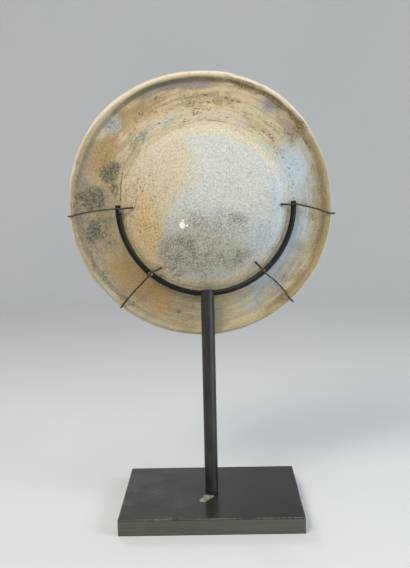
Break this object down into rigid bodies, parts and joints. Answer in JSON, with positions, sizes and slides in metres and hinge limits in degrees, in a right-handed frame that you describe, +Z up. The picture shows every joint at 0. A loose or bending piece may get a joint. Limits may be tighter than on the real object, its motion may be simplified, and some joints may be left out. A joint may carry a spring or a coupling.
{
  "type": "pottery bowl with stand",
  "caption": "Shallow handmade pottery bowl with a domed base and rolled lip, held upright by a black metal cradle, hooked wires, post and plate.",
  "frame": {"origin": "centre of the base plate's underside", "axes": "+Z up along the post; the bowl's underside, the cradle and the post face -Y, its open inside faces +Y; +X to the right seen from the front"},
  "size_m": [0.2986, 0.15, 0.4921],
  "materials": {
    "plate_finish": "satin",
    "post_finish": "satin",
    "rod_finish": "satin",
    "wire_finish": "satin",
    "fired_clay": "matte"
  },
  "bodies": {
    "root": {"base_plate": "plate_finish", "post": "post_finish", "cradle_rod": "rod_finish", "upper_left_wire": "wire_finish", "upper_right_wire": "wire_finish", "lower_left_wire": "wire_finish", "lower_right_wire": "wire_finish", "bowl": "fired_clay"}
  },
  "joints": []
}
